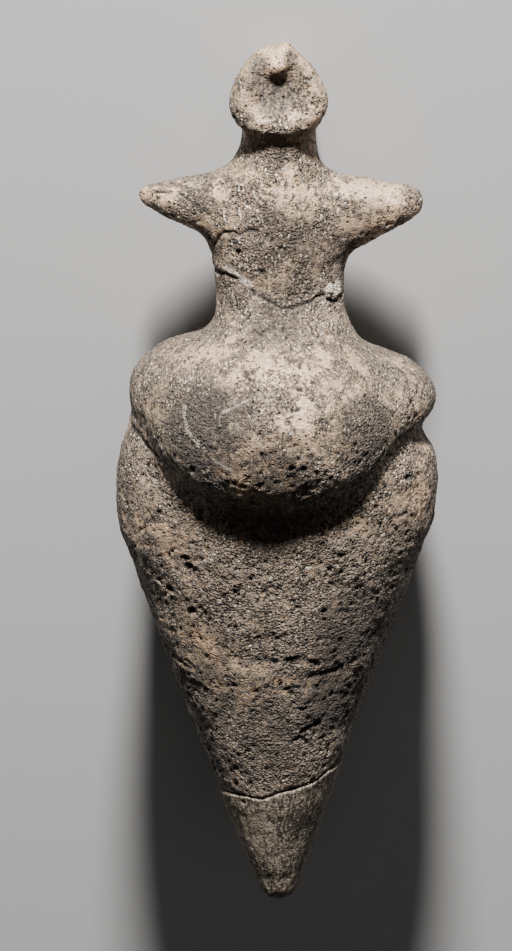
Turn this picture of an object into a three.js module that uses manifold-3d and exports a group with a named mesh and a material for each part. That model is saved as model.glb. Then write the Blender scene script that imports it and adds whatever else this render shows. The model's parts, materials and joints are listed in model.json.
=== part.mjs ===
// A steatopygous idol of fired clay, lying on its back.
//
// The figure was modelled in the hand from lumps of clay that were pressed together and smoothed.
// This file builds it in the same way. Each lump is a signed distance field with a named place and
// size, neighbouring lumps are blended over a named width, and the blended field is meshed.
//
// The figure is first worked out standing up, in millimetres: x to the viewer's right, y up from the
// pointed foot, z towards the viewer. It is then laid on its back, so that in the finished part the
// head points along +Y and the face and belly look up, along +Z.

import * as THREE from "three";
import { mergeVertices } from "three/addons/utils/BufferGeometryUtils.js";
import { edgeTable, triTable } from "three/addons/objects/MarchingCubes.js";
import Module from "manifold-3d";

// Overall height of the figure, from the point of the foot to the crest of the head.
const figureHeight = 200;
const share = (s) => s * figureHeight;

// Legs: fused into one taper that ends in a blunt point.
const thighWidth = 73.6;
const thighDepth = 49;
const thighHeight = share(0.498);
const thighTop = share(0.57);
const thighTopSlope = 0.075;
const footRadius = 4.5;
const footDepthShare = 0.95;
const legSway = 1.2;

// Buttocks: two masses behind the thighs, with a cleft between them.
const buttockWidth = 35;
const buttockLength = 39.2;
const buttockReach = 33.5;
const buttockSpread = 15.5;
const buttockHeight = share(0.487);
const cleftWidth = 4.4;
const cleftLength = 31.5;
const cleftDepth = 5;
const cleftHeight = share(0.467);

// Hips: one roll of flesh at each side, hanging over the thigh below it, and the loin between them.
const hipLeft = { reach: 33.9, width: 25.2, height: share(0.607), thickness: 21 };
const hipRight = { reach: 35.6, width: 21.2, height: share(0.5985), thickness: 16.2 };
const loin = { width: 53.8, height: share(0.612), thickness: 25 };
const hipDepth = 34;
const hipSetback = 1;

// Belly: the round mass that hangs over the front of the thighs.
const bellyWidth = 54;
const bellyLength = 42;
const bellyFront = 35.4;
const bellyDepth = 44;
const bellyHeight = share(0.577);
const bellySide = -1;

// Waist: a slim column that leans a little towards the viewer's left.
const waistWidth = 28.8;
const waistDepth = 22;
const waistLength = share(0.3);
const waistHeight = share(0.725);
const waistLean = 0.1;

// Arms: two short horns that grow out of the chest.
const armLeft = {
  reach: 32.2,
  tipRadius: 2.8,
  height: share(0.83),
  rootRadius: 11.8,
  rootHeight: share(0.81),
};
const armRight = {
  reach: 32.8,
  tipRadius: 4,
  height: share(0.822),
  rootRadius: 13.4,
  rootHeight: share(0.797),
};
const chestDepth = 19;

// Neck and head: a short thick neck, and a bird-like head that looks up a little.
const neckWidth = 16.6;
const headWidth = 23.4;
const headLength = 22;
const headDepth = 14;
const headHeight = share(0.95);
const headForward = 5.3;
const headSide = -0.2;
const headTilt = THREE.MathUtils.degToRad(-15);
const headRoll = THREE.MathUtils.degToRad(3);
const headTaper = 0.23;
const headWidestShare = -0.35;

// Face: a wide hollow with a nose pinched out of its upper half.
const faceRim = 0.9;
const faceDepth = 4.6;
const faceLift = 1.5;
const faceDrop = 1.5;
const noseWidth = 4.9;
const noseReach = 6.8;
const noseLength = 3.6;
const noseSlope = 0.2;
const noseSide = -1.7;
const noseLean = 0.4;

// How widely each lump is smoothed into its neighbours. A narrow blend leaves a crease.
const blend = {
  buttocks: 7,
  cleft: 4,
  hips: 9,
  waistSides: 8,
  waistFront: 14,
  arms: 5,
  chest: 2,
  neck: 5.5,
  underHead: 1.2,
  faceEdge: 1.2,
  nose: 1.5,
  thighTop: 5,
  overhang: 2.4,
  overhangBehind: 10,
};

// The restored tip: a cap of filler, a little proud of the clay that it continues.
const tipJoint = share(0.136);
const tipJointSlope = 0.42;
const tipJointBend = -2;
const tipJointSoftness = 6;
const tipJointRaggedness = 0.5;
const tipJointWaves = [10.1, 3.7];
const tipProud = 0.35;
const jointGap = 0.3;

// How deep the figure is worn flat where it lies on its buttocks and the back of its head.
const restingWear = 0.45;

// Length of a facet's side on the thighs. It shrinks towards the head and the foot.
const facet = 3.6;
const headFacetShare = 0.48;
const footFacetShare = 0.82;
const relaxRounds = 8;

const clayLook = { color: 0x7c6c5f, roughness: 0.82, metalness: 0 };
const fillerLook = { color: 0x77695b, roughness: 0.9, metalness: 0 };

// Blends two fields into one over a width k, as a thumb smooths one lump into the next.
function join(a, b, k) {
  const overlap = Math.max(k - Math.abs(a - b), 0) / k;
  return Math.min(a, b) - (overlap * overlap * k) / 4;
}

const carve = (a, b, k) => -join(-a, b, k);

const mix = (a, b, t) => a + (b - a) * t;

const smooth = (from, to, value) => THREE.MathUtils.smoothstep(value, from, to);

function ellipsoid(x, y, z, [cx, cy, cz], [rx, ry, rz]) {
  const dx = x - cx;
  const dy = y - cy;
  const dz = z - cz;
  const near = Math.hypot(dx / rx, dy / ry, dz / rz);
  const slope = Math.hypot(dx / rx ** 2, dy / ry ** 2, dz / rz ** 2);
  return slope === 0 ? -Math.min(rx, ry, rz) : (near * (near - 1)) / slope;
}

// A cone between two balls: radius r at height 0 and R at height h, seen at a distance q off its axis.
function roundCone(q, height, h, r, R) {
  const lean = (r - R) / h;
  const side = Math.sqrt(1 - lean * lean);
  const along = q * -lean + height * side;
  if (along < 0) return Math.hypot(q, height) - r;
  if (along > side * h) return Math.hypot(q, height - h) - R;
  return q * side + height * lean - r;
}

// Legs. The section is an oval that gets rounder towards the foot.
function legs(x, y, z) {
  const flatness = mix(footDepthShare, thighDepth / thighWidth, smooth(0, thighHeight, y));
  const sway = legSway * Math.sin(Math.PI * THREE.MathUtils.clamp(y / thighTop, 0, 1));
  const off = Math.hypot(x + sway, z / flatness);
  const length = thighHeight - footRadius;
  const cone = roundCone(off, y - footRadius, length, footRadius, thighWidth / 2);
  return carve(cone * mix(1, flatness, 0.5), thighTop - thighTopSlope * x - y, blend.thighTop);
}

function buttocks(x, y, z) {
  const radius = buttockWidth / 2;
  const centre = [buttockSpread, buttockHeight, radius - buttockReach];
  return ellipsoid(Math.abs(x), y, z, centre, [radius, buttockLength / 2, radius]);
}

// The cleft is a long narrow groove between the buttocks.
function cleft(x, y, z) {
  const centre = [0, cleftHeight, cleftDepth - buttockReach];
  return ellipsoid(x, y, z, centre, [cleftWidth / 2, cleftLength / 2, cleftDepth]);
}

function hips(x, y, z) {
  const roll = ({ width, height, thickness }, middle) => {
    const radii = [width / 2, thickness / 2, hipDepth / 2];
    return ellipsoid(x, y, z, [middle, height, -hipSetback], radii);
  };
  const left = roll(hipLeft, hipLeft.width / 2 - hipLeft.reach);
  const right = roll(hipRight, hipRight.reach - hipRight.width / 2);
  return join(Math.min(left, right), roll(loin, 0), blend.hips);
}

function belly(x, y, z) {
  const centre = [bellySide, bellyHeight, bellyFront - bellyDepth / 2];
  return ellipsoid(x, y, z, centre, [bellyWidth / 2, bellyLength / 2, bellyDepth / 2]);
}

function waist(x, y, z) {
  const lean = waistLean * (waistHeight - y);
  const radii = [waistWidth / 2, waistLength / 2, waistDepth / 2];
  return ellipsoid(x - lean, y, z, [0, waistHeight, 0], radii);
}

// One arm is a cone that runs from the middle of the chest to a round tip.
function arm(x, y, z, { reach, tipRadius, height, rootRadius, rootHeight }) {
  const run = reach - tipRadius;
  const rise = height - rootHeight;
  const length = Math.hypot(run, rise);
  const out = (x * run + (y - rootHeight) * rise) / length;
  const up = ((y - rootHeight) * run - x * rise) / length;
  const flatness = mix(chestDepth / (2 * rootRadius), 1, smooth(0, length, out));
  return roundCone(Math.hypot(up, z / flatness), out, length, rootRadius, tipRadius) * flatness;
}

function arms(x, y, z) {
  return join(arm(-x, y, z, armLeft), arm(x, y, z, armRight), blend.chest);
}

function neck(x, y, z) {
  const past = Math.max(y - headHeight, armLeft.rootHeight - y, 0);
  return Math.hypot(x, z, past) - neckWidth / 2;
}

// A point in the head's own axes: across the face, up the face, and out of the face.
function inHead(x, y, z) {
  const [rise, forward, side] = [y - headHeight, z - headForward, x - headSide];
  const above = rise * Math.cos(headTilt) + forward * Math.sin(headTilt);
  const out = forward * Math.cos(headTilt) - rise * Math.sin(headTilt);
  const across = side * Math.cos(headRoll) + above * Math.sin(headRoll);
  const up = above * Math.cos(headRoll) - side * Math.sin(headRoll);
  return [across, up, out];
}

// Adds the head to the neck. The face is hollowed out of both, and the nose stands in the hollow.
function addHead(withNeck, x, y, z) {
  const [across, up, out] = inHead(x, y, z);
  const [halfWidth, halfLength, halfDepth] = [headWidth / 2, headLength / 2, headDepth / 2];
  const narrowing = 1 - headTaper * THREE.MathUtils.clamp(up / halfLength - headWidestShare, -1, 1.5);
  const middle = [0, 0, 0];
  const skull = ellipsoid(across / narrowing, up, out, middle, [halfWidth, halfLength, halfDepth]);
  const hollow = [halfWidth - faceRim, halfLength - faceRim, faceDepth + faceLift];
  const faceMiddle = [0, -faceDrop, halfDepth + faceLift];
  const face = ellipsoid(across / narrowing, up, out, faceMiddle, hollow);
  const faced = carve(join(withNeck, skull, blend.underHead), face, blend.faceEdge);
  return join(faced, nose(across, up, out), blend.nose);
}

function nose(across, up, out) {
  const top = (headLength - noseWidth) / 2;
  const end = top - noseLength;
  const along = THREE.MathUtils.clamp(up, end, top);
  const ridge = noseReach - noseWidth / 2 - noseSlope * (along - end);
  return Math.hypot(across - noseSide - noseLean * along, up - along, out - ridge) - noseWidth / 2;
}

function clay(x, y, z) {
  const bellyAndHips = join(hips(x, y, z), belly(x, y, z), blend.hips);
  const waistBlend = mix(blend.waistSides, blend.waistFront, smooth(0, bellyFront / 2, z));
  const trunk = join(bellyAndHips, waist(x, y, z), waistBlend);
  const shoulders = join(trunk, arms(x, y, z), blend.arms);
  const withNeck = join(shoulders, neck(x, y, z), blend.neck);
  const upper = addHead(withNeck, x, y, z);
  const seat = join(legs(x, y, z), buttocks(x, y, z), blend.buttocks);
  const lower = carve(seat, cleft(x, y, z), blend.cleft);
  const toFront = smooth(-hipDepth / 2, 0, z);
  return join(upper, lower, mix(blend.overhangBehind, blend.overhang, toFront));
}

// The grid that the field is sampled on. It narrows towards the head and the foot, where the forms
// are finer.
function gridScale(y) {
  const toHead = smooth(share(0.55), share(0.9), y);
  const toFoot = 1 - smooth(0, share(0.42), y);
  return mix(1, headFacetShare, toHead) * mix(1, footFacetShare, toFoot);
}

function gridHeights(bottom, top) {
  const heights = [bottom];
  while (heights.at(-1) < top) heights.push(heights.at(-1) + facet * gridScale(heights.at(-1)));
  return heights;
}

// The corners of a grid cell and the ends of its edges, in the order of the marching cubes tables.
function gridCell() {
  const square = [[0, 0], [1, 0], [1, 1], [0, 1]];
  const corners = [0, 1].flatMap((k) => square.map(([i, j]) => [i, j, k]));
  const ring = [[0, 1], [1, 2], [3, 2], [0, 3]];
  const farRing = ring.map((ends) => ends.map((n) => n + square.length));
  return [corners, [...ring, ...farRing, [0, 4], [1, 5], [2, 6], [3, 7]]];
}

const [corners, edges] = gridCell();
const tableRow = triTable.length / edgeTable.length;

// The share of an edge that a vertex keeps away from the edge's ends, so that no facet is a sliver.
const edgeMargin = 0.06;

// Meshes a field between two heights. The mesh is closed, because the grid reaches past the figure.
function meshOf(field, bottom, top) {
  const heights = gridHeights(bottom, top);
  const limbs = [hipLeft, hipRight, armLeft, armRight].map((limb) => limb.reach);
  const reach = Math.max(thighWidth / 2, buttockReach, bellyFront, ...limbs);
  const halfCount = Math.ceil(reach / (facet * headFacetShare)) + 3;
  const across = 2 * halfCount + 1;
  const index = (i, j, k) => (k * heights.length + j) * across + i;
  const place = (i, j, k) => {
    const spread = facet * gridScale(heights[j]);
    return [(i - halfCount) * spread, heights[j], (k - halfCount) * spread];
  };
  const values = new Float64Array(across * across * heights.length);
  for (let k = 0; k < across; k++)
    for (let j = 0; j < heights.length; j++)
      for (let i = 0; i < across; i++) values[index(i, j, k)] = field(...place(i, j, k));

  const points = [];
  const triangles = [];
  const made = new Map();
  const vertexOn = (a, b) => {
    const [ia, ib] = [index(...a), index(...b)];
    const key = ia * values.length + ib;
    if (!made.has(key)) {
      const crossing = values[ia] / (values[ia] - values[ib]);
      const t = THREE.MathUtils.clamp(crossing, edgeMargin, 1 - edgeMargin);
      const [p, q] = [place(...a), place(...b)];
      made.set(key, points.length);
      points.push(new THREE.Vector3(mix(p[0], q[0], t), mix(p[1], q[1], t), mix(p[2], q[2], t)));
    }
    return made.get(key);
  };
  for (let k = 0; k < across - 1; k++)
    for (let j = 0; j < heights.length - 1; j++)
      for (let i = 0; i < across - 1; i++) {
        const cell = corners.map(([di, dj, dk]) => [i + di, j + dj, k + dk]);
        const outside = cell.reduce((bits, c, n) => bits | ((values[index(...c)] > 0) << n), 0);
        if (!edgeTable[outside]) continue;
        for (let n = outside * tableRow; triTable[n] !== -1; n++) {
          const [a, b] = edges[triTable[n]];
          triangles.push(vertexOn(cell[a], cell[b]));
        }
      }
  return relaxed(field, points, triangles);
}

// The field's value at a point, and the direction and rate at which it rises there.
function slopeOf(field, { x, y, z }) {
  const step = facet / 12;
  const value = field(x, y, z);
  const rises = [field(x + step, y, z), field(x, y + step, z), field(x, y, z + step)];
  const slope = new THREE.Vector3(...rises.map((rise) => (rise - value) / step));
  return { value, slope };
}

function neighboursOf(points, triangles) {
  const neighbours = points.map(() => new Set());
  for (let n = 0; n < triangles.length; n += 3)
    for (const [from, to] of [[n, n + 1], [n + 1, n + 2], [n + 2, n]]) {
      neighbours[triangles[from]].add(triangles[to]);
      neighbours[triangles[to]].add(triangles[from]);
    }
  return neighbours;
}

// Evens out the facets: each vertex slides half way to the middle of its neighbours, then goes back
// onto the surface.
function relaxed(field, points, triangles) {
  const neighbours = neighboursOf(points, triangles);
  const furthest = facet / 4;
  for (let round = 0; round < relaxRounds; round++) {
    const middles = neighbours.map((near) => {
      const middle = new THREE.Vector3();
      for (const n of near) middle.add(points[n]);
      return middle.divideScalar(near.size);
    });
    points.forEach((point, n) => {
      const normal = slopeOf(field, point).slope.normalize();
      const slide = middles[n].sub(point).divideScalar(2);
      point.add(slide.addScaledVector(normal, -slide.dot(normal)));
      const { value, slope } = slopeOf(field, point);
      const back = THREE.MathUtils.clamp(value, -furthest, furthest);
      point.addScaledVector(slope, -back / Math.max(slope.lengthSq(), 0.2));
    });
  }
  const geometry = new THREE.BufferGeometry().setFromPoints(points);
  geometry.setIndex(triangles);
  return geometry;
}

const wasm = await Module();
wasm.setup();

function solidOf(geometry) {
  const bare = geometry.index ? geometry.toNonIndexed() : geometry.clone();
  const merged = mergeVertices(
    new THREE.BufferGeometry().setAttribute("position", bare.getAttribute("position")),
    1e-4,
  );
  return new wasm.Manifold(
    new wasm.Mesh({
      numProp: 3,
      vertProperties: merged.attributes.position.array,
      triVerts: new Uint32Array(merged.index.array),
    }),
  );
}

function geometryOf(solid) {
  const { vertProperties, triVerts } = solid.getMesh();
  const geometry = new THREE.BufferGeometry();
  geometry.setAttribute("position", new THREE.BufferAttribute(vertProperties, 3));
  geometry.setIndex(new THREE.BufferAttribute(triVerts, 1));
  return geometry;
}

// Everything below the ragged line where the old clay ends and the filler begins, moved by `shift`.
function belowJoint(shift) {
  const half = thighWidth;
  const steps = 40;
  const outline = new THREE.Shape();
  outline.moveTo(-half, -half);
  outline.lineTo(half, -half);
  for (let n = 0; n <= steps; n++) {
    const x = half - (2 * half * n) / steps;
    const [long, short] = tipJointWaves.map((wave) => Math.sin((2 * Math.PI * x) / wave + 1));
    const ragged = tipJointRaggedness * (long + short / 2);
    const past = x - tipJointBend;
    const rise = (tipJointSlope / 2) * (past + Math.hypot(past, tipJointSoftness));
    outline.lineTo(x, tipJoint + rise + ragged + shift);
  }
  const slab = new THREE.ExtrudeGeometry(outline, { depth: 2 * half, bevelEnabled: false });
  return slab.translate(0, 0, -half);
}

function makeBody() {
  const whole = solidOf(meshOf(clay, -facet, figureHeight + facet));
  return whole.subtract(solidOf(belowJoint(jointGap / 2)));
}

function makeTip() {
  const end = tipJoint * 1.6;
  const proud = (x, y, z) => Math.max(clay(x, y, z) - tipProud, y - end);
  return solidOf(meshOf(proud, -facet, end + facet)).intersect(solidOf(belowJoint(-jointGap / 2)));
}

// The turn about X that lays the figure down, so that its buttocks and the back of its head are
// equally low. It is found by halving the interval in which it lies.
function layingTurn(geometry) {
  const position = geometry.getAttribute("position");
  const lowest = (turn, wanted) => {
    let low = Infinity;
    for (let n = 0; n < position.count; n++) {
      const y = position.getY(n);
      if (wanted(y)) low = Math.min(low, y * Math.sin(turn) + position.getZ(n) * Math.cos(turn));
    }
    return low;
  };
  const isHead = (y) => y > headHeight - headLength;
  const isSeat = (y) => y < waistHeight;
  let [less, more] = [-Math.PI / 5, Math.PI / 5];
  while (more - less > 1e-9) {
    const turn = (less + more) / 2;
    if (lowest(turn, isHead) > lowest(turn, isSeat)) more = turn;
    else less = turn;
  }
  return less;
}

function madeOf(solid, name, look) {
  const mesh = new THREE.Mesh(geometryOf(solid), new THREE.MeshStandardMaterial(look));
  mesh.name = name;
  return mesh;
}

function makeIdol() {
  const body = makeBody();
  const tip = makeTip();
  const figure = new THREE.Group();
  figure.rotation.x = layingTurn(geometryOf(body));
  figure.updateMatrix();

  const box = new THREE.Box3();
  for (const solid of [body, tip]) {
    const lying = geometryOf(solid).applyMatrix4(figure.matrix);
    lying.computeBoundingBox();
    box.union(lying.boundingBox);
  }
  const middle = box.getCenter(new THREE.Vector3());
  figure.position.set(-middle.x, -middle.y, -box.min.z - restingWear);
  figure.updateMatrix();

  const ground = new THREE.BoxGeometry(2 * figureHeight, 2 * figureHeight, figureHeight);
  ground.translate(0, 0, -figureHeight / 2).applyMatrix4(figure.matrix.clone().invert());
  figure.add(madeOf(body.subtract(solidOf(ground)), "idol_body", clayLook));
  figure.add(madeOf(tip, "restored_tip", fillerLook));
  const idol = new THREE.Group();
  idol.add(figure);
  return idol;
}

export default makeIdol();
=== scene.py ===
# %% [markdown]
# # A steatopygous idol of fired clay
#
# The figure is about 20 cm long. It was modelled in the hand, smoothed with a damp finger, fired at a
# low heat, buried for thousands of years, broken across the waist and mended, and its foot was
# completed with a modern filler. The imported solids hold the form. This lesson adds the skin: the
# unevenness of hand modelling, the cracks, pits and chips as real relief, and two materials.
# It lies on its back, and the camera looks down on it.

import json
import math
import random

import bpy
import numpy as np
from mathutils import Matrix, Vector, kdtree, noise
from mathutils.bvhtree import BVHTree

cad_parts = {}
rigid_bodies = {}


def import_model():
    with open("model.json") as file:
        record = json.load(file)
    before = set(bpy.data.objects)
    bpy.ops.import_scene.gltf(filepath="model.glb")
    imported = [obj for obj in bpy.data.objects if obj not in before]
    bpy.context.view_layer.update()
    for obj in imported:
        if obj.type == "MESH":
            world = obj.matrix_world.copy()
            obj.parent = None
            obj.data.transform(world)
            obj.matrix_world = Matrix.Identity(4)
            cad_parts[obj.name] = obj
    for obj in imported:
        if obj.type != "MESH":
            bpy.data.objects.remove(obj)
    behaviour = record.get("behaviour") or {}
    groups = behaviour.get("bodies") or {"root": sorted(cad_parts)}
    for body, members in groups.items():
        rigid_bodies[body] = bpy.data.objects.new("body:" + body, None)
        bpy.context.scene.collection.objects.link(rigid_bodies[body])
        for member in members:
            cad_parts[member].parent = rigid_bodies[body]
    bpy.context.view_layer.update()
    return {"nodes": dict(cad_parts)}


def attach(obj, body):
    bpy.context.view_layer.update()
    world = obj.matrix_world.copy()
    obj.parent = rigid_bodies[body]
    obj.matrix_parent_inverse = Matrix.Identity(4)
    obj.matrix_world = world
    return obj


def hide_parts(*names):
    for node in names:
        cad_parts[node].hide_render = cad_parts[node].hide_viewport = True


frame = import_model()
mm = 0.001

# %% [markdown]
# ## The figure's own axes
#
# The solids lie on buttocks and head, so the long axis slopes. It is easier to think of the figure as
# standing: x to the viewer's right, y from the foot to the head, z towards the viewer. One matrix
# lays that figure down, and its inverse stands any point of it up again.

# %% Lay the figure down and stand it up
lying_turn = math.radians(-15.5236)
foot_point = Vector((0.469, -97.859, 58.689)) * mm
figure_height = 200 * mm
lay_down = Matrix.Translation(foot_point) @ Matrix.Rotation(lying_turn, 4, "X")
stand_up = lay_down.inverted()


def lying(x, y, z):
    """The place, in the frame, of a point of the standing figure given in millimetres."""
    return lay_down @ (Vector((x, y, z)) * mm)


def lying_direction(x, y, z):
    """The same for a direction."""
    return (lay_down.to_3x3() @ Vector((x, y, z))).normalized()


print("the long axis slopes by", round(math.degrees(-lying_turn), 2), "degrees")

# %% [markdown]
# ## Camera
#
# The photograph was taken with a long lens from a little above the figure's front. The pixel where
# the lens points is off the middle of the frame, which is a shift of the lens and not a turn.

# %% Place the camera
image_width, image_height = 512, 951
aim_pixel = (279, 481)
pixels_per_mm = 4.397
camera_distance = 1000 * mm
camera_rise = math.radians(14)
sensor_width = 36
nearest_seen = 50 * mm
aim_point = lying(0, 100, 0)
to_camera = lying_direction(0, math.sin(camera_rise), math.cos(camera_rise))
image_up = lying_direction(0, math.cos(camera_rise), -math.sin(camera_rise))
image_right = image_up.cross(to_camera)
focal_pixels = pixels_per_mm / mm * camera_distance

camera_data = bpy.data.cameras.new("camera")
camera_data.sensor_width = sensor_width
camera_data.lens = focal_pixels * sensor_width / image_height
camera_data.shift_x = (image_width / 2 - aim_pixel[0]) / image_height
camera_data.shift_y = (aim_pixel[1] - image_height / 2) / image_height
camera_data.clip_start = nearest_seen
camera = bpy.data.objects.new("camera", camera_data)
bpy.context.collection.objects.link(camera)
camera_point = aim_point + to_camera * camera_distance
turned = Matrix((image_right, image_up, to_camera)).transposed().to_4x4()
camera.matrix_world = Matrix.Translation(camera_point) @ turned
bpy.context.scene.camera = camera
print("lens:", round(camera_data.lens, 1), "mm")


def sight_line(pixel):
    """The direction in which the camera sees a pixel of the photograph."""
    across = image_right * (pixel[0] - aim_pixel[0])
    upward = image_up * (aim_pixel[1] - pixel[1])
    return (across + upward - to_camera * focal_pixels).normalized()


# %% [markdown]
# ## Floor and light
#
# The floor is pale and plain. One soft lamp stands beyond the head, 60 degrees from the direction in
# which the figure looks. It rakes over the surface and shows every pit, and it leaves the neck and the
# hollow under the belly in shade. A weak wide lamp and a weak even sky fill those shadows a little.

# %% Floor and lamps
floor_width = 6
floor_grey = (0.5, 0.49, 0.48, 1)
floor_roughness = 0.9
sky_white = (1, 1, 1, 1)
sky_strength = 0.025

bpy.ops.mesh.primitive_plane_add(size=floor_width, location=(0, 0, 0))
floor = bpy.context.object
floor.name = "floor"
floor_finish = bpy.data.materials.new("floor")
floor_finish.use_nodes = True
floor_surface = floor_finish.node_tree.nodes["Principled BSDF"]
floor_surface.inputs["Base Color"].default_value = floor_grey
floor_surface.inputs["Roughness"].default_value = floor_roughness
floor.data.materials.append(floor_finish)


def lamp(name, direction, distance, size, power):
    """A round lamp that looks at the middle of the figure."""
    light = bpy.data.lights.new(name, "AREA")
    light.shape = "DISK"
    light.size = size
    light.energy = power
    holder = bpy.data.objects.new(name, light)
    bpy.context.collection.objects.link(holder)
    toward = lying_direction(*direction)
    holder.location = aim_point + toward * distance
    holder.rotation_mode = "QUATERNION"
    holder.rotation_quaternion = toward.to_track_quat("Z", "Y")
    return holder


key_lamp = lamp("key_lamp", direction=(-0.02, 0.866, 0.5), distance=1.2, size=0.16, power=66)
lamp("fill_lamp", direction=(0.1, 0.1, 1.0), distance=1.8, size=1.4, power=1.8)
world = bpy.data.worlds.new("studio")
world.use_nodes = True
sky = world.node_tree.nodes["Background"]
sky.inputs["Color"].default_value = sky_white
sky.inputs["Strength"].default_value = sky_strength
bpy.context.scene.world = world
print("key lamp at", [round(v, 2) for v in key_lamp.location])

# %% [markdown]
# ## The clay, without its facets
#
# The solid is made of flat facets a few millimetres wide. A copy of it is merged, remeshed into
# small squares and smoothed, as a damp finger would. The side that the photograph shows gets
# squares half as wide, because the cracks and pits there are narrow. Where clay and filler meet,
# the copy is drawn back onto the solid, so that the two keep the narrow gap between them.

# %% Copy, merge and remesh a solid
coarse_square = 0.98 * mm
merge_gap = 0.01 * mm
facing_limit = -0.02
trunk_band = (0.21, 0.9)
joint_band = (0.12, 0.19)


def select_only(piece):
    bpy.ops.object.select_all(action="DESELECT")
    piece.select_set(True)
    bpy.context.view_layer.objects.active = piece


def smooth_copy(node_name, piece_name, square, rounds):
    """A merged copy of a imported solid, remeshed into squares and smoothed."""
    source = frame["nodes"][node_name]
    piece = bpy.data.objects.new(piece_name, source.data.copy())
    bpy.context.collection.objects.link(piece)
    piece.data.materials.clear()
    select_only(piece)
    bpy.ops.object.mode_set(mode="EDIT")
    bpy.ops.mesh.select_all(action="SELECT")
    bpy.ops.mesh.remove_doubles(threshold=merge_gap)
    bpy.ops.mesh.normals_make_consistent(inside=False)
    bpy.ops.object.mode_set(mode="OBJECT")
    remesh = piece.modifiers.new("squares", "REMESH")
    remesh.mode = "VOXEL"
    remesh.voxel_size = square
    bpy.ops.object.modifier_apply(modifier=remesh.name)
    smooth_where(piece, lambda point: True, rounds)
    return piece


def smooth_where(piece, wanted, rounds):
    """Smooths the points that wanted(point) picks."""
    select_only(piece)
    bpy.ops.object.mode_set(mode="EDIT")
    bpy.ops.mesh.select_mode(type="VERT")
    bpy.ops.mesh.select_all(action="DESELECT")
    bpy.ops.object.mode_set(mode="OBJECT")
    for vertex in piece.data.vertices:
        vertex.select = wanted(vertex.co)
    bpy.ops.object.mode_set(mode="EDIT")
    bpy.ops.mesh.vertices_smooth(factor=0.5, repeat=rounds)
    bpy.ops.object.mode_set(mode="OBJECT")


def refine(piece, wanted):
    """Halves the squares of the faces that wanted(face) picks."""
    select_only(piece)
    bpy.ops.object.mode_set(mode="EDIT")
    bpy.ops.mesh.select_mode(type="FACE")
    bpy.ops.mesh.select_all(action="DESELECT")
    bpy.ops.object.mode_set(mode="OBJECT")
    picked = [wanted(face) for face in piece.data.polygons]
    piece.data.polygons.foreach_set("select", picked)
    bpy.ops.object.mode_set(mode="EDIT")
    bpy.ops.mesh.subdivide(number_cuts=1, smoothness=0)
    bpy.ops.mesh.select_mode(type="VERT")
    bpy.ops.mesh.select_all(action="SELECT")
    bpy.ops.mesh.vertices_smooth(factor=0.5, repeat=2)
    bpy.ops.object.mode_set(mode="OBJECT")


def cling(piece, node_name, wanted):
    """Draws the points that wanted(point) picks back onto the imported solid."""
    picked = piece.vertex_groups.new(name="clinging")
    picked.add([v.index for v in piece.data.vertices if wanted(v.co)], 1.0, "REPLACE")
    wrap = piece.modifiers.new("cling", "SHRINKWRAP")
    wrap.target = frame["nodes"][node_name]
    wrap.wrap_method = "NEAREST_SURFACEPOINT"
    wrap.vertex_group = picked.name
    select_only(piece)
    bpy.ops.object.modifier_apply(modifier=wrap.name)
    piece.vertex_groups.clear()


def seen_by_camera(face):
    return face.normal.dot(to_camera) > facing_limit


def triangles(piece):
    return sum(len(face.vertices) - 2 for face in piece.data.polygons)


def share_of_height(point):
    """How high a point is on the standing figure: 0 at the foot, 1 at the top of the head."""
    return (stand_up @ point).y / figure_height


def on_trunk(point):
    """True away from the head and from the joint at the foot, which both stay crisp."""
    return trunk_band[0] < share_of_height(point) < trunk_band[1]


def at_joint(point):
    """True in the band where the old clay meets the filler."""
    return joint_band[0] < share_of_height(point) < joint_band[1]


body = smooth_copy("idol_body", "clay_body", coarse_square, rounds=2)
smooth_where(body, on_trunk, rounds=5)
refine(body, seen_by_camera)
cling(body, "idol_body", at_joint)
print("clay body:", triangles(body), "triangles")

# %% [markdown]
# ## Unevenness of hand modelling
#
# Nothing modelled in the hand is fair. Three Displace modifiers with cloud textures push the surface
# in and out: broad swells as wide as a finger, smaller dabs, and the grit of the clay.

# %% Swells and dabs


def swell(piece, name, width, height):
    """Pushes the surface in and out by half the height, in lumps of one width."""
    texture = bpy.data.textures.new(name, "CLOUDS")
    texture.noise_scale = width
    texture.noise_depth = 2
    displace = piece.modifiers.new(name, "DISPLACE")
    displace.texture = texture
    displace.texture_coords = "LOCAL"
    displace.strength = height
    displace.mid_level = 0.5
    select_only(piece)
    bpy.ops.object.modifier_apply(modifier=displace.name)


swell(body, "finger_swells", width=14 * mm, height=1.3 * mm)
swell(body, "thumb_dabs", width=5 * mm, height=0.55 * mm)
swell(body, "grit", width=1.4 * mm, height=0.34 * mm)

# %% [markdown]
# ## Marks of age
#
# The marks are found on the photograph as pixels. A sight line through each pixel meets the clay at
# the place of the mark, so every crack lies in the surface from any side.

# %% Find the places of the marks
groove_roundness = 1.3
scratch_sharpness = 1.6
patch_steepness = 2.5
darken_reach = 1.7
erosion_threshold = 0.36
erosion_slope = 0.25
erosion_calm = 0.22
calm_begins = 0.5
calm_slope = 0.2
octave_drop = 0.9
octave_scale = 2.1
octaves = 4
line_step = 0.8 * mm
wander_length = 1.5 * mm
wander_seed = 7


def surface_of(piece):
    """A search tree of a piece's faces, which a sight line can meet."""
    mesh = piece.data
    points = [vertex.co for vertex in mesh.vertices]
    return BVHTree.FromPolygons(points, [tuple(face.vertices) for face in mesh.polygons])


clay_surface = surface_of(body)


def place_of(pixel):
    """The point of the clay that a pixel of the photograph shows."""
    sight = sight_line(pixel)
    hit = clay_surface.ray_cast(camera_point, sight)[0]
    if hit:
        return hit
    return clay_surface.find_nearest(camera_point + sight * camera_distance)[0]


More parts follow.
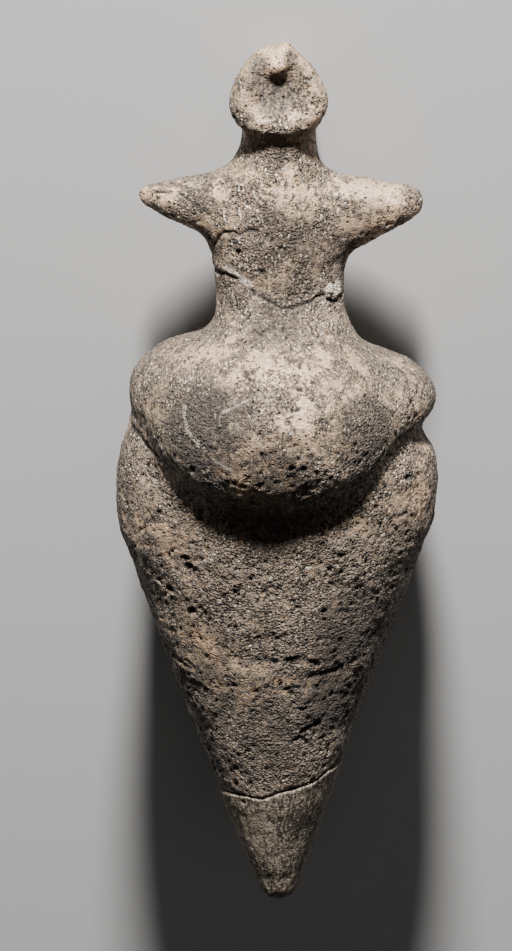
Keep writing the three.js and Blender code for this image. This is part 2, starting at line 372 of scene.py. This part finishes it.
def of_each_vertex(mesh, name):
    """The places ("co") or the normals ("normal") of a mesh, one row for each vertex."""
    flat = np.empty(len(mesh.vertices) * 3)
    mesh.vertices.foreach_get(name, flat)
    return flat.reshape(-1, 3)


def eased(share):
    """Turns a straight slope from 0 to 1 into one that starts and ends gently."""
    return share * share * (3 - 2 * share)


class Relief:
    """How far each vertex of a piece is pushed out, how dirty, filled and pale it is, and how much soil
    and painted shade darken it.
    """

    def __init__(self, piece):
        self.mesh = piece.data
        self.points = of_each_vertex(self.mesh, "co")
        self.normals = of_each_vertex(self.mesh, "normal")
        self.push = np.zeros(len(self.points))
        self.dirt = np.zeros(len(self.points))
        self.fill = np.zeros(len(self.points))
        self.tone = np.zeros(len(self.points))
        self.stain = np.zeros(len(self.points))

    def near_line(self, path, width):
        """1 on a line of points, falling to 0 at a distance of one width."""
        nearest = np.full(len(self.points), 1.0)
        for start, end in zip(path[:-1], path[1:]):
            first = np.array(start)
            run = np.array(end) - first
            along = np.clip(((self.points - first) @ run) / max(run @ run, 1e-12), 0, 1)
            gap = np.linalg.norm(self.points - first - along[:, None] * run, axis=1)
            nearest = np.minimum(nearest, gap)
        return np.clip(1 - nearest / width, 0, 1)

    def gap_to(self, middle):
        return np.linalg.norm(self.points - np.array(middle), axis=1)

    def near_spot(self, middle, radius):
        """1 in the middle of a spot, falling to 0 at its radius."""
        return np.clip(1 - self.gap_to(middle) / radius, 0, 1)

    def groove(self, path, width, depth, dirt=1.0):
        share = self.near_line(path, width)
        self.push = np.minimum(self.push, -depth * share**groove_roundness)
        self.dirt = np.maximum(self.dirt, dirt * share)

    def ridge(self, path, width, height):
        self.push += height * eased(self.near_line(path, width))

    def scratch(self, path, width, depth, pale):
        """A shallow groove that shows paler clay."""
        share = self.near_line(path, width)
        self.push = np.minimum(self.push, -depth * share)
        self.fill = np.maximum(self.fill, pale * np.clip(scratch_sharpness * share, 0, 1))

    def dent(self, middle, radius, depth, dirt=0.0):
        share = eased(self.near_spot(middle, radius))
        self.push -= depth * share
        self.dirt = np.maximum(self.dirt, dirt * share)

    def patch(self, middle, radius, height, fill):
        """A lump of filler with a steep edge."""
        edge = np.clip(self.near_spot(middle, radius) * patch_steepness, 0, 1)
        self.push += height * edge
        self.fill = np.maximum(self.fill, fill * edge)

    def tint(self, middle, radius, tone):
        """Makes the clay round a place paler, or darker where the tone is negative."""
        self.tone += tone * eased(self.near_spot(middle, radius))

    def darken_spot(self, middle, radius, stain):
        """Darkens the clay round a place: with soil in some places, with painted shade in others."""
        share = np.clip(darken_reach - darken_reach * self.gap_to(middle) / radius, 0, 1)
        self.stain = np.maximum(self.stain, stain * eased(share))

    def erode(self, width, depth, seed, dirt):
        """Eats irregular holes, fewer on the upper body, where a noise rises above a threshold."""
        shift = Vector((seed, 0, 0))
        for number, point in enumerate(self.points):
            place = Vector(point)
            calm = min(max((share_of_height(place) - calm_begins) / calm_slope, 0), 1) * erosion_calm
            level = noise.fractal(place / width + shift, octave_drop, octave_scale, octaves)
            eaten = min(max((level - erosion_threshold - calm) / erosion_slope, 0), 1)
            if eaten > 0:
                self.push[number] -= depth * eaten
                self.dirt[number] = max(self.dirt[number], dirt * eaten)

    def apply(self, floor_level=None):
        """Moves the vertices, none below the floor, and stores the marks for the material."""
        moved = self.points + self.normals * self.push[:, None]
        if floor_level is not None:
            moved[:, 2] = np.maximum(moved[:, 2], floor_level)
        self.mesh.vertices.foreach_set("co", moved.ravel())
        self.mesh.update()
        for name in ("dirt", "fill", "tone", "stain"):
            attribute = self.mesh.attributes.new(name, "FLOAT", "POINT")
            attribute.data.foreach_set("value", getattr(self, name))


def line_through(pixels, wander=0.25 * mm, seed=0):
    """A slightly wandering line over the clay, through the places of some pixels."""
    corners = [place_of(pixel) for pixel in pixels]
    points = []
    for start, end in zip(corners[:-1], corners[1:]):
        count = max(1, round((end - start).length / line_step))
        points += [start.lerp(end, n / count) for n in range(count)]
    points.append(corners[-1])
    shift = Vector((seed, 0, 0))
    return [point + wander * noise.noise_vector(point / wander_length + shift) for point in points]


noise.seed_set(wander_seed)
relief = Relief(body)
print("marks are cut into", len(relief.points), "points")

# %% [markdown]
# ## The face
#
# The nose was pinched out of the clay and its sides were pressed in, which left a groove on either
# side of it and a deep hollow under it. Soil still sits in them, and their dark spots also paint the
# shadow of the nose and the shade in the hollow.

# %% Sharpen the face
# Each ridge has its pixels, width and height in millimetres, each dent its pixel, radius and depth,
# and each dark spot of soil and painted shade its pixel, radius and strength.
face_ridges = [
    ("left bump of the crest", [(258, 49), (265, 46)], 1.8, 0.5),
    ("right bump of the crest", [(282, 43), (290, 44)], 1.8, 0.4),
    ("foot of the nose", [(277, 79), (275, 87)], 2.8, 1.1),
]
crest_notch = (272, 45)
beside_nose = [
    ((258, 62), 2.2, 0.35), ((257, 74), 2.4, 0.3), ((291, 58), 2.4, 0.4), ((290, 70), 2.2, 0.3),
]
# Dark spots in the grooves and the hollow: soil, painted shadow of the nose and painted shade in the
# hollow.
face_soil_and_shade = [
    ((275, 84), 5.0, 1.0), ((267, 90), 5.2, 1.0), ((281, 94), 5.4, 1.0), ((274, 104), 5.4, 0.9),
    ((258, 64), 3.6, 0.9), ((257, 82), 4.6, 0.9), ((292, 60), 3.2, 0.9), ((294, 76), 4.4, 0.8),
    ((243, 90), 5.0, 0.45), ((308, 84), 5.0, 0.45), ((247, 119), 2.6, 0.5), ((236, 112), 3.0, 0.6),
]
face_pits = [(236, 112), (247, 120), (262, 127), (323, 93), (308, 87)]

relief.dent(place_of(crest_notch), radius=1.3 * mm, depth=0.5 * mm)
for name, pixels, width, height in face_ridges:
    relief.ridge(line_through(pixels, wander=0), width * mm, height * mm)
for pixel, radius, depth in beside_nose:
    relief.dent(place_of(pixel), radius * mm, depth * mm, dirt=0.3)
for pixel, radius, stain in face_soil_and_shade:
    relief.darken_spot(place_of(pixel), radius * mm, stain)
for pixel in face_pits:
    relief.dent(place_of(pixel), radius=0.9 * mm, depth=0.6 * mm, dirt=0.8)
print("marks on the face:", len(face_ridges) + len(beside_nose) + len(face_pits) + 1)

# %% [markdown]
# ## The mended break
#
# The figure snapped across the waist. The crack is narrow and black. A strip of clay above it has
# spalled away, which is a ridge with a height below 0. The restorer pressed pale filler into the gaps
# at both ends. Behind, where the photograph doesn't reach, the crack runs round at the same height.

# %% Cut the break
break_pixels = [
    (217, 272), (224, 274), (236, 279), (247, 285), (254, 294), (262, 297), (271, 302),
    (281, 307), (293, 307), (301, 305), (308, 303), (318, 296), (329, 294), (342, 296),
]
spall_pixels = [(243, 279), (256, 288), (268, 294), (280, 298), (293, 298), (303, 297)]
pale_strip_pixels = [(225, 267), (234, 273), (241, 279), (249, 284)]
cavity_pixels = [(328, 299), (335, 301), (341, 300)]
large_filler_lump = (337, 288)
small_filler_lump = (329, 290)
back_steps = 40
outside_waist = 40 * mm
back_rise = 1.5 * mm
back_wander = 0.4 * mm
back_wander_length = 2 * mm
front_break = line_through(break_pixels, seed=1)


def round_the_back(start, end):
    """Carries the crack round the hidden side of the waist, from one end to the other."""
    first, last = stand_up @ start, stand_up @ end
    begin, finish = math.atan2(first.x, first.z), math.atan2(last.x, last.z)
    turn = (finish - begin) % (2 * math.pi)
    points = []
    for n in range(back_steps + 1):
        share = n / back_steps
        angle = begin + turn * share
        rise = back_rise * math.sin(3 * math.pi * share)
        height = first.y + (last.y - first.y) * share + rise
        outward = Vector((math.sin(angle), 0, math.cos(angle)))
        outside = Vector((0, height, 0)) + outward * outside_waist
        hit = clay_surface.ray_cast(lay_down @ outside, lying_direction(*(-outward)))[0]
        points.append(hit + back_wander * noise.noise_vector(hit / back_wander_length))
    return points


back_break = round_the_back(front_break[-1], front_break[0])
relief.ridge(line_through(spall_pixels, wander=0), width=3.4 * mm, height=-0.5 * mm)
relief.groove(front_break, width=0.65 * mm, depth=1.1 * mm)
relief.groove(back_break, width=0.7 * mm, depth=0.9 * mm)
relief.patch(place_of(large_filler_lump), radius=2.2 * mm, height=0.8 * mm, fill=0.95)
relief.patch(place_of(small_filler_lump), radius=1.6 * mm, height=0.45 * mm, fill=0.85)
relief.scratch(line_through(pale_strip_pixels), width=1.0 * mm, depth=0.1 * mm, pale=0.7)
relief.groove(line_through(cavity_pixels), width=0.9 * mm, depth=1.2 * mm)
front_length = sum((after - before).length for before, after in zip(front_break, front_break[1:]))
print("the break is", round(front_length / mm, 1), "mm long in front")

# %% [markdown]
# ## Cracks, gashes, chips and pits
#
# The larger marks are listed with their pixels, and with their width and depth in millimetres. Two
# rounds of erosion then eat irregular holes into the skin, where grit fell out or the soil's water
# softened it. The small pits are scattered by a seeded draw, more of them on thighs and legs than on
# the chest.

# %% Cut the larger marks
grooves = [
    ("flake on the chest",
     [(214, 244), (219, 237), (223, 232), (233, 232), (239, 235), (248, 230), (258, 231)], 0.7, 0.7),
    ("slot in the left arm", [(155, 191), (162, 191.5), (168, 193)], 0.75, 0.6),
    ("scratch under the left arm", [(178, 192), (189, 200), (201, 209), (209, 215)], 0.6, 0.5),
    ("left hip crease", [(131, 425), (140, 436), (150, 450), (166, 464)], 1.0, 0.5),
    ("long gash", [(251, 661), (262, 660), (277, 662)], 0.8, 0.45),
    ("long gash, right end", [(287, 660), (300, 657), (316, 663)], 1.0, 0.55),
    ("short gash", [(314, 676), (325, 673), (338, 670)], 0.8, 0.45),
    ("upper gash", [(234, 594), (240, 590)], 0.8, 0.35),
    ("upper gash, middle", [(262, 587), (274, 587), (282, 591)], 0.8, 0.35),
    ("third gash", [(283, 690), (294, 688), (306, 688)], 0.7, 0.3),
    ("fourth gash", [(318, 686), (328, 683)], 0.7, 0.3),
    ("left low gash", [(173, 656), (184, 664), (190, 668)], 0.8, 0.5),
    ("arc near the joint", [(294, 741), (300, 737), (307, 744)], 0.8, 0.6),
    ("line near the joint", [(302, 733), (310, 728), (314, 725)], 0.8, 0.5),
]

ridges = [
    ("left thigh ridge", [(187, 570), (200, 563), (215, 556)], 1.6, 0.4),
    ("lip of the long gash", [(262, 657), (290, 656), (318, 659)], 1.5, 0.25),
    ("chest fold", [(240, 240), (262, 236), (285, 236)], 1.8, 0.25),
    ("lower lip of the belly", [(212, 484), (240, 490), (270, 492), (298, 491), (330, 485)], 3.0, 0.5),
    ("rough lip at the right", [(300, 490), (313, 485), (326, 477), (340, 468)], 1.4, 0.35),
]

scratches = [
    ("arc on the belly", [(184, 405), (185, 423), (190, 434), (199, 445)], 0.45, 0.14, 0.4),
    ("arc on the belly, low end", [(203, 449), (215, 460), (231, 470)], 0.45, 0.14, 0.5),
    ("line under the belly", [(305, 497), (318, 484), (330, 473), (343, 466)], 0.4, 0.1, 0.4),
    ("line on the belly", [(222, 412), (235, 407), (247, 400)], 0.4, 0.1, 0.4),
    ("line at the left hip", [(196, 355), (206, 345), (212, 337)], 0.4, 0.1, 0.4),
    ("line on the left thigh", [(196, 566), (206, 560), (216, 553)], 0.4, 0.1, 0.4),
]

holes = [
    ((187, 567), 1.5, 1.2), ((169, 589), 1.3, 1.2), ((191, 611), 1.1, 1.0), ((408, 478), 1.2, 1.1),
    ((317, 724), 1.2, 1.2), ((295, 375), 0.9, 0.8), ((299, 389), 1.0, 0.9), ((296, 410), 0.8, 0.7),
    ((287, 423), 0.8, 0.7), ((309, 458), 1.0, 0.5), ((290, 469), 1.0, 0.5), ((184, 558), 1.0, 0.8),
    ((303, 470), 1.1, 0.7), ((147, 466), 0.9, 0.7), ((157, 478), 0.8, 0.6), ((418, 386), 1.0, 0.9),
    ((412, 402), 1.1, 0.9), ((322, 612), 0.8, 0.7), ((237, 252), 0.9, 0.9), ((260, 272), 0.9, 0.8),
]
hole_length = 0.5 * mm

for name, pixels, width, depth in grooves:
    relief.groove(line_through(pixels, seed=len(name)), width * mm, depth * mm, dirt=0.8)
for name, pixels, width, height in ridges:
    relief.ridge(line_through(pixels, seed=len(name)), width * mm, height * mm)
for name, pixels, width, depth, pale in scratches:
    relief.scratch(line_through(pixels, seed=len(name)), width * mm, depth * mm, pale)
for pixel, radius, depth in holes:
    spot = place_of(pixel)
    relief.groove([spot, spot + image_right * hole_length], radius * mm, depth * mm)
print("larger marks:", len(grooves) + len(ridges) + len(scratches) + len(holes))

# %% Erode the surface and scatter the small pits
relief.erode(width=1.9 * mm, depth=0.22 * mm, seed=3, dirt=0.35)
relief.erode(width=1.1 * mm, depth=0.25 * mm, seed=8, dirt=0.5)

pit_count = 700
legs_below = 0.6
kept_above_legs = 0.5
small_share = 0.9
small_pits = (0.5, 0.75)
large_pits = (0.75, 1.1)
pit_depths = (0.4, 0.8)
pit_dirt = 0.8
draw = random.Random(5)
tree = kdtree.KDTree(len(relief.points))
for number, point in enumerate(relief.points):
    tree.insert(point, number)
tree.balance()
made = 0
while made < pit_count:
    point = relief.points[draw.randrange(len(relief.points))]
    on_legs = share_of_height(Vector(point)) < legs_below
    if not on_legs and draw.random() > kept_above_legs:
        continue
    radii = small_pits if draw.random() < small_share else large_pits
    radius = draw.uniform(*radii) * mm
    depth = radius * draw.uniform(*pit_depths)
    for place, number, gap in tree.find_range(point, radius):
        share = 1 - gap / radius
        relief.push[number] -= depth * share
        relief.dirt[number] = max(relief.dirt[number], pit_dirt * share)
    made += 1
print("small pits:", made)

# %% [markdown]
# ## Where the clay is pale and where it is dark
#
# The burnish is worn through to a paler beige on the raised parts, which hands and soil rubbed, and
# the fire left darker clouds. Each tone is a named spot with a pixel, a radius in millimetres and a
# strength, below 0 where the clay is darker. The dark tones at the neck, on the sides of the legs and
# above the joint are painted shade, and the paler breast and low belly are painted light. Soil soaked
# into the hollows and the waist, and washing didn't lift it. Each soiled spot is in the second list,
# with painted shade under the chin, the arms and the belly, on the lower chest and down the legs, and
# the figure's sides and back, which look away from its front, have a light painted shade all over.
# The material breaks the edges up with its grain.

# %% Tint the worn spots and the dark clouds, and paint shade and light
tones = [
    ("head", (280, 85), 20, 0.6),
    ("chin", (272, 120), 9, 0.35),
    # Painted shadow of the head on the neck.
    ("neck", (278, 142), 7, -1.2),
    # The breast's paler tone is painted light on the upper chest.
    ("breast", (285, 185), 13, 0.3),
    ("left shoulder", (217, 186), 10, 0.3),
    ("left arm", (160, 193), 8, 0.3),
    ("right arm", (385, 197), 14, 0.6),
    ("under the break at the left", (228, 290), 5, -0.3),
    ("below the break", (262, 322), 8, -0.3),
    ("left of the waist", (212, 350), 8, 0.5),
    ("left hip", (152, 372), 7, -0.1),
    ("right hip", (402, 366), 10, 0.5),
    ("belly, top", (285, 366), 14, 0.75),
    ("belly, top left", (235, 378), 9, 0.6),
    ("belly, middle", (290, 425), 9, 0.35),
    ("belly, right", (345, 390), 8, 0.3),
    ("belly, left flank", (190, 415), 10, -0.6),
    ("belly, right flank", (362, 430), 9, -0.45),
    # The paler low belly is painted light on the belly's underside.
    ("belly, low", (270, 478), 14, 0.4),
    ("left thigh", (150, 510), 14, 0.3),
    ("right thigh", (405, 505), 14, 0.6),
    # Painted shade down the right side of the legs.
    ("right flank", (372, 610), 12, -0.4),
    ("left leg", (212, 640), 11, 0.45),
    ("right leg", (330, 645), 7, 0.3),
    # Painted shade down the left side of the legs.
    ("left flank", (185, 690), 8, -0.3),
    ("shin", (300, 705), 8, 0.2),
    # Painted shade, darker towards the foot.
    ("above the joint", (270, 755), 12, -0.5),
]
soil_and_shade_spots = [
    # Painted shadow of the head under the chin.
    ("under the chin", (278, 146), 6, 0.75),
    ("under the chin, left", (256, 142), 5, 0.6),
    ("under the chin, right", (302, 142), 5, 0.6),
    # Painted shade on the left shoulder's flank and under the arms.
    ("left shoulder's flank", (196, 205), 6, 0.4),
    ("right arm, underside", (368, 217), 7, 0.5),
    ("under the left arm", (214, 240), 6, 0.6),
    ("under the right arm", (338, 250), 7, 0.75),
    # Painted shade down the lower chest.
    ("lower chest", (290, 245), 14, 0.65),
    ("waist, left", (232, 290), 9, 0.6),
    ("waist, front", (290, 283), 10, 0.7),
    ("waist, right", (325, 268), 8, 0.5),
    ("under the break", (275, 320), 9, 0.65),
    ("above the left hip", (190, 348), 6, 0.35),
    ("left hip, low", (150, 405), 9, 0.45),
    ("belly, left", (202, 430), 16, 1.0),
    ("belly, right", (368, 430), 13, 0.75),
    ("right of the navel", (342, 398), 9, 0.35),
    ("below the navel", (275, 470), 12, 0.7),
    # Painted shadow of the belly on the thighs.
    ("under the belly", (270, 532), 8, 0.7),
    ("under the belly, left", (240, 518), 6, 0.6),
    ("under the belly, right", (304, 520), 6, 0.6),
    # Painted shade down the sides of the legs and, lower, towards the foot.
    ("right of the legs", (352, 630), 14, 0.8),
    ("left of the legs", (205, 690), 12, 0.5),
    ("right of the shin", (332, 700), 12, 0.85),
    ("shin, low", (275, 735), 12, 0.5),
]
painted_flank_shade = 0.5
flank_begins = 0.6
floor_height = 0.0

for name, pixel, radius, tone in tones:
    relief.tint(place_of(pixel), radius * mm, tone)
for name, pixel, radius, stain in soil_and_shade_spots:
    relief.darken_spot(place_of(pixel), radius * mm, stain)
# Painted shade: the sides and back, which turn away from the figure's front, are darkened all over.
front = relief.normals @ np.array(lying_direction(0, 0, 1))
turned_away = np.clip((flank_begins - front) / flank_begins, 0, 1)
relief.stain = np.maximum(relief.stain, painted_flank_shade * turned_away)
print("tones:", len(tones), "stains:", len(soil_and_shade_spots))

relief.apply(floor_height)
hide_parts("idol_body")
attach(body, "root")

# %% [markdown]
# ## The restored foot
#
# The filler cap is smoother than the clay and a little proud of it. It keeps a crisp upper edge, so
# its squares are small, and its edge is drawn back onto the solid. A file left shallow scratches along
# its length, which go round the whole cap in a seeded draw.

# %% Make the restored foot
tip_square = 0.42 * mm
mark_count = 46
mark_starts = (1, 22)
mark_lengths = (3, 9)
mark_bend = 0.05
mark_width = 0.55 * mm
mark_depths = (0.08, 0.2)
mark_dirt = 0.5
tip_axis_side = -0.8
outside_tip = 30 * mm
tip_hole = (243, 802)
# Painted light on the left of the tip and painted shade on its right.
tip_light_and_shade = [
    ("left of the tip", (250, 830), 11, 0.6),
    ("right of the tip", (300, 825), 9, -0.6),
]

tip = smooth_copy("restored_tip", "filler_tip", tip_square, rounds=5)
cling(tip, "restored_tip", at_joint)
swell(tip, "filler_swells", width=5 * mm, height=0.4 * mm)
# From here on, place_of finds the places on the tip.
clay_surface = surface_of(tip)
tip_relief = Relief(tip)
draw = random.Random(11)
for stroke in range(mark_count):
    angle = draw.uniform(-math.pi, math.pi)
    low = draw.uniform(*mark_starts)
    high = low + draw.uniform(*mark_lengths)
    ends = []
    for height in (low, (low + high) / 2, high):
        outward = Vector((math.sin(angle), 0, math.cos(angle)))
        start = lay_down @ (Vector((tip_axis_side, height, 0)) * mm + outward * outside_tip)
        hit = clay_surface.ray_cast(start, lying_direction(*(-outward)))[0]
        ends.append(hit or start)
        angle += draw.uniform(-mark_bend, mark_bend)
    tip_relief.groove(ends, mark_width, draw.uniform(*mark_depths) * mm, mark_dirt)
hole = place_of(tip_hole)
tip_relief.groove([hole, hole], width=0.8 * mm, depth=0.6 * mm)
for name, pixel, radius, tone in tip_light_and_shade:
    tip_relief.tint(place_of(pixel), radius * mm, tone)
tip_relief.apply()
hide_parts("restored_tip")
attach(tip, "root")
print("filler tip:", triangles(tip), "triangles")

# %% [markdown]
# ## Shader maths as expressions
#
# A small class wraps a shader socket, so that masks are written as sums and products. A second class
# holds one material, and its one method adds any node, from the node's type, settings and inputs.

# %% A socket that can be added and multiplied


class Wire:
    """A number, vector or colour that flows through a shader."""

    def __init__(self, shader, socket):
        self.shader = shader
        self.socket = socket

    def maths(self, operation, first, second):
        return self.shader.node("ShaderNodeMath", {"operation": operation}, {0: first, 1: second})

    def __add__(self, other):
        return self.maths("ADD", self, other)

    def __radd__(self, other):
        return self.maths("ADD", other, self)

    def __sub__(self, other):
        return self.maths("SUBTRACT", self, other)

    def __rsub__(self, other):
        return self.maths("SUBTRACT", other, self)

    def __mul__(self, other):
        return self.maths("MULTIPLY", self, other)

    def __rmul__(self, other):
        return self.maths("MULTIPLY", other, self)


class Shader:
    """One material, and the one method that adds any node to it."""

    def __init__(self, name):
        self.material = bpy.data.materials.new(name)
        self.material.use_nodes = True
        self.tree = self.material.node_tree
        self.surface = self.tree.nodes["Principled BSDF"]

    def node(self, kind, settings=None, inputs=None, output=0):
        made = self.tree.nodes.new(kind)
        for name, value in (settings or {}).items():
            if name == "stops":
                self.set_stops(made.color_ramp, value)
            else:
                setattr(made, name, value)
        for name, value in (inputs or {}).items():
            self.feed(made.inputs[name], value)
        return Wire(self, made.outputs[output])

    def set_stops(self, ramp, stops):
        while len(ramp.elements) < len(stops):
            ramp.elements.new(1)
        for element, (position, grey) in zip(ramp.elements, stops):
            element.position = position
            element.color = (grey, grey, grey, 1)

    def feed(self, socket, value):
        if isinstance(value, Wire):
            self.tree.links.new(value.socket, socket)
        else:
            socket.default_value = value

    def ramp(self, value, stops):
        return self.node("ShaderNodeValToRGB", {"stops": stops}, {"Fac": value})

    def blend(self, share, first, second):
        """Mixes two colours: the first where the share is 0, the second where it is 1."""
        return self.node("ShaderNodeMix", {"data_type": "RGBA"}, {0: share, 6: first, 7: second}, output=2)

    def coords(self):
        """The place of each point of the piece, from the object's own origin."""
        return self.node("ShaderNodeTexCoord", output=3)

    def standing(self, coords):
        """Object coordinates turned so that Y runs along the figure's long axis, from the foot."""
        inputs = {"Vector": coords, "Location": stand_up.translation, "Rotation": stand_up.to_euler()}
        return self.node("ShaderNodeMapping", {"vector_type": "POINT"}, inputs)

    def drawn_out(self, figure, share):
        """Coordinates in which a grain is longer along the figure: 1 over the share times."""
        inputs = {"Vector": figure, "Scale": (1, share, 1)}
        return self.node("ShaderNodeMapping", {"vector_type": "POINT"}, inputs)

    def grain(self, coords, width, detail=3.0, roughness=0.55):
        """A noise from 0 to 1, mostly near 0.5, in lumps of one width."""
        inputs = {"Vector": coords, "Scale": 1 / width, "Detail": detail, "Roughness": roughness}
        return self.node("ShaderNodeTexNoise", {}, inputs)

    def cells(self, coords, width):
        """The distance to the nearest of some scattered points, one for each cell."""
        return self.node("ShaderNodeTexVoronoi", {}, {"Vector": coords, "Scale": 1 / width})

    def mark(self, name):
        """A value that the relief stored in the mesh: dirt, fill, tone, or the darkening by soil and
        painted shade.
        """
        return self.node("ShaderNodeAttribute", {"attribute_name": name}, output=2)

    def bump(self, height, distance, strength=1.0, under=None):
        """Tilts the surface as a height would, on top of another bump where one is given."""
        inputs = {"Height": height, "Distance": distance, "Strength": strength}
        if under:
            inputs["Normal"] = under
        return self.node("ShaderNodeBump", {}, inputs)


# %% [markdown]
# ## Fired clay
#
# The clay is grey-brown. Where hands and soil have worn the burnish it is a warmer beige, mostly on
# the upper half. Grit makes it speckled: black pits and pale grains, all a fraction of a millimetre
# wide. The burnish keeps a soft sheen, which the raw places and the spots darkened by soil and painted
# shade have lost. The legs are painted darker towards the foot, as shade. The same noises drive
# colour, roughness and bump, so that a raw place is also rough, and a black dot is a pit.

# %% The clay's material
dark_clay = (0.035, 0.026, 0.019, 1)
grey_clay = (0.25, 0.184, 0.13, 1)
brown_clay = (0.17, 0.112, 0.068, 1)
worn_clay = (0.52, 0.352, 0.216, 1)
pale_grain = (0.9, 0.76, 0.6, 1)
pit_black = (0.008, 0.006, 0.004, 1)
filler_pale = (0.76, 0.66, 0.54, 1)
burnish_sheen = 0.6


def clay_material():
    clay = Shader("fired_clay")
    coords = clay.coords()
    figure = clay.standing(coords)
    long_axis = clay.node("ShaderNodeSeparateXYZ", {}, {0: figure}, output=1)
    upper = clay.ramp(long_axis * (1 / figure_height), [(0.25, 0.0), (0.5, 0.4), (0.6, 0.8), (0.75, 1.0)])
    clouds = clay.grain(coords, 15 * mm, detail=5, roughness=0.6)
    mottle = clay.grain(coords, 4 * mm, detail=5, roughness=0.65)
    speckle = clay.grain(coords, 1.1 * mm, detail=3, roughness=0.7)
    fine = clay.grain(coords, 0.55 * mm, detail=1, roughness=0.5)
    dirt, stain = clay.mark("dirt"), clay.mark("stain")

    # Raw ground, and the beige where the burnish is worn.
    rubbed = 0.4 * clay.mark("tone") + 0.9 * clouds + 1.0 * mottle + 0.55 * speckle
    rubbed = rubbed + 0.25 * fine + 0.08 * upper
    wear = clay.ramp(rubbed - 1.0, [(0.47, 0.0), (0.55, 1.0)])
    raw = 1 - wear
    ground = clay.blend(clay.ramp(mottle, [(0.38, 0.0), (0.62, 1.0)]), brown_clay, grey_clay)
    tone = clay.blend(wear, ground, worn_clay)

    # Dark specks, the strokes of the burnisher along the figure, and pale grains of grit.
    halved = clay.drawn_out(figure, 0.5)
    specks = clay.grain(halved, 0.5 * mm, detail=1, roughness=0.5)
    dark = clay.ramp(specks + 0.5 * mottle + 0.16 * wear, [(0.66, 1.0), (0.73, 0.0)])
    tone = clay.blend(0.95 * dark, tone, dark_clay)
    strokes = clay.grain(clay.drawn_out(figure, 0.16), 0.8 * mm, detail=3, roughness=0.65)
    strokes = clay.ramp(strokes, [(0.42, 1.0), (0.6, 0.0)])
    tone = clay.blend(0.5 * strokes * wear, tone, brown_clay)
    grains = clay.grain(halved, 0.6 * mm, detail=1, roughness=0.5)
    grains = clay.ramp(grains, [(0.61, 0.0), (0.68, 1.0)])
    tone = clay.blend(0.85 * grains * (0.25 + 0.75 * raw) * (0.4 + 0.6 * upper), tone, pale_grain)

    # Pits too small for the mesh, in swarms, and dirt in the pits and cracks that it has.
    pits = clay.ramp(clay.cells(coords, 1.4 * mm), [(0.14, 1.0), (0.3, 0.0)])
    swarms = clay.ramp(clay.grain(coords, 3.3 * mm), [(0.44, 0.0), (0.56, 1.0)])
    pits = pits * swarms
    tone = clay.blend(0.9 * pits * (0.5 + 0.5 * raw), tone, pit_black)
    soil = clay.ramp(dirt + 0.6 * fine + 0.6 * speckle - 0.6, [(0.25, 0.0), (0.6, 1.0)])
    tone = clay.blend(0.9 * soil, tone, pit_black)

    # Soil and painted shade, painted shade that darkens the legs towards the foot, and the restorer's
    # filler, broken up by grit.
    streaks = clay.grain(halved, 0.8 * mm, detail=3, roughness=0.7)
    streaks = clay.ramp(streaks, [(0.38, 1.0), (0.62, 0.0)])
    tone = clay.blend(stain * (0.6 + 0.6 * streaks), tone, dark_clay)
    # Painted shade: the legs darken towards the foot.
    tone = clay.blend(0.4 * (1 - upper), tone, dark_clay)
    broken = clay.ramp(fine, [(0.36, 0.35), (0.56, 1.0)])
    tone = clay.blend(clay.mark("fill") * broken, tone, filler_pale)

    matt = clay.ramp(0.5 * raw + 0.2 * fine + 0.65 * stain, [(0.05, 0.4), (0.55, 0.66), (1.0, 0.92)])
    gritty = clay.bump((fine + 0.8 * speckle) * (0.3 + 0.7 * raw), distance=0.9 * mm)
    clay.feed(clay.surface.inputs["Base Color"], tone)
    clay.feed(clay.surface.inputs["Roughness"], matt)
    clay.feed(clay.surface.inputs["Normal"], clay.bump(1 - pits, distance=0.8 * mm, under=gritty))
    clay.surface.inputs["Specular IOR Level"].default_value = burnish_sheen
    return clay.material


body.data.materials.append(clay_material())
print("clay:", len(body.data.materials[0].node_tree.nodes), "shader nodes")

# %% [markdown]
# ## Toned filler
#
# The foot was coloured to match the clay, so it is close in tone but even: no worn patches, few
# pits, and fine lines along its length, with painted light on its left side and painted shade on its
# right. It was never burnished and is duller.

# %% The filler's material
filler_dark = (0.045, 0.036, 0.026, 1)
filler_light = (0.27, 0.22, 0.165, 1)
filler_sheen = 0.3


def filler_material():
    filler = Shader("restoration_fill")
    coords = filler.coords()
    lines = filler.drawn_out(filler.standing(coords), 0.12)
    streaks = filler.grain(lines, 0.5 * mm, detail=2, roughness=0.6)
    speckle = filler.grain(coords, 0.6 * mm, detail=2, roughness=0.6)
    clouds = filler.grain(coords, 7 * mm)

    # The tone mark paints light on the tip's left side and shade on its right.
    light = streaks + 0.35 * speckle + 0.25 * clouds + 0.3 * filler.mark("tone")
    tone = filler.blend(filler.ramp(light, [(0.68, 0.0), (0.95, 1.0)]), filler_dark, filler_light)
    dots = filler.ramp(speckle, [(0.62, 0.0), (0.72, 1.0)])
    tone = filler.blend(0.35 * dots, tone, filler_pale)
    tone = filler.blend(0.7 * filler.mark("dirt"), tone, pit_black)

    drawn = filler.bump(streaks, distance=0.3 * mm, strength=0.8)
    normal = filler.bump(speckle, distance=0.25 * mm, strength=0.8, under=drawn)
    filler.feed(filler.surface.inputs["Base Color"], tone)
    filler.feed(filler.surface.inputs["Roughness"], filler.ramp(clouds, [(0.3, 0.7), (0.8, 0.92)]))
    filler.feed(filler.surface.inputs["Normal"], normal)
    filler.surface.inputs["Specular IOR Level"].default_value = filler_sheen
    return filler.material


tip.data.materials.append(filler_material())
print("filler:", len(tip.data.materials[0].node_tree.nodes), "shader nodes")

# %% [markdown]
# ## Finish
#
# Both pieces are shaded smooth.

# %% Shade and finish
for piece in (body, tip):
    select_only(piece)
    bpy.ops.object.shade_smooth()
